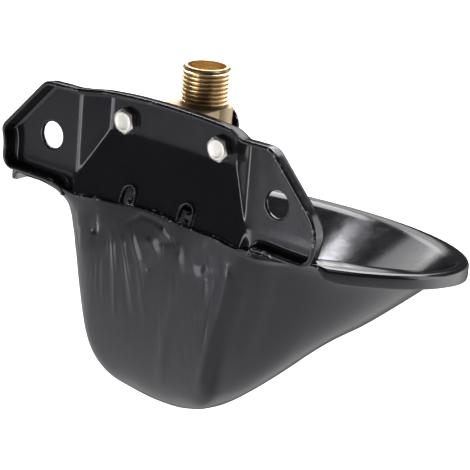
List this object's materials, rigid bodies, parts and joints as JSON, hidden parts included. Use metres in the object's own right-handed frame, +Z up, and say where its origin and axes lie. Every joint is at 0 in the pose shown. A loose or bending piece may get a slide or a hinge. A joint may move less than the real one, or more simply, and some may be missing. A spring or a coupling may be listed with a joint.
{
  "type": "livestock drinking bowl",
  "caption": "Wall-hung deep-drawn steel drinking bowl with rolled rim, winged mounting plate, brass pipe-thread valve and push tongue.",
  "frame": {"origin": "midway between the two fixing holes of the wings, on the rear (wall side) face of the wings", "axes": "+Z up, +Y towards the wall, -Y towards the animal, X along the line of the two fixing holes"},
  "size_m": [0.203, 0.1605, 0.1469],
  "materials": {
    "enamel": "gloss",
    "enamel_tongue": "gloss",
    "brass": "machined and as-cast",
    "stainless": "satin",
    "rubber": "matte",
    "fibre": "matte",
    "white_plastic": "matte",
    "black_plastic": "satin"
  },
  "bodies": {
    "bowl_and_valve": {"bowl_shell": "enamel", "back_plate": "enamel", "seam_weld": "enamel", "valve_body": "brass", "outlet_gland": "brass", "flange_bolts": "stainless", "hinge_pin": "stainless", "pin_washers": "stainless", "pin_clips": "stainless", "return_spring": "stainless", "spindle_circlip": "stainless", "flange_gasket": "rubber", "gland_gasket": "fibre", "inlet_strainer": "white_plastic", "valve_seat": "white_plastic"},
    "tongue": {"tongue": "enamel_tongue"},
    "stem": {"valve_stem": "stainless", "valve_washer": "rubber"},
    "regulator": {"regulator_spindle": "brass", "regulator_oring": "rubber", "regulator_knob": "black_plastic", "knob_screw": "stainless"}
  },
  "joints": [
    {"name": "tongue_swing", "type": "hinge", "parent": "bowl_and_valve", "child": "tongue", "pos_m": [0, -0.039, -0.005], "axis": [1, 0, 0], "range_deg": [0, 5], "stiffness_Nm_per_rad": 0.25, "springref_deg": -20.05},
    {"name": "stem_lift", "type": "slide", "parent": "bowl_and_valve", "child": "stem", "axis": [0, 0, 1], "range_m": [0, 0.00125], "deforming": ["return_spring"]},
    {"name": "regulator_turn", "type": "hinge", "parent": "bowl_and_valve", "child": "regulator", "pos_m": [0, -0.03, 0.0133], "axis": [0, -1, 0], "range_deg": [0, 90]}
  ],
  "couplings": [
    {"joint": "stem_lift", "follows": "tongue_swing", "m_per_rad": 0.0139}
  ]
}
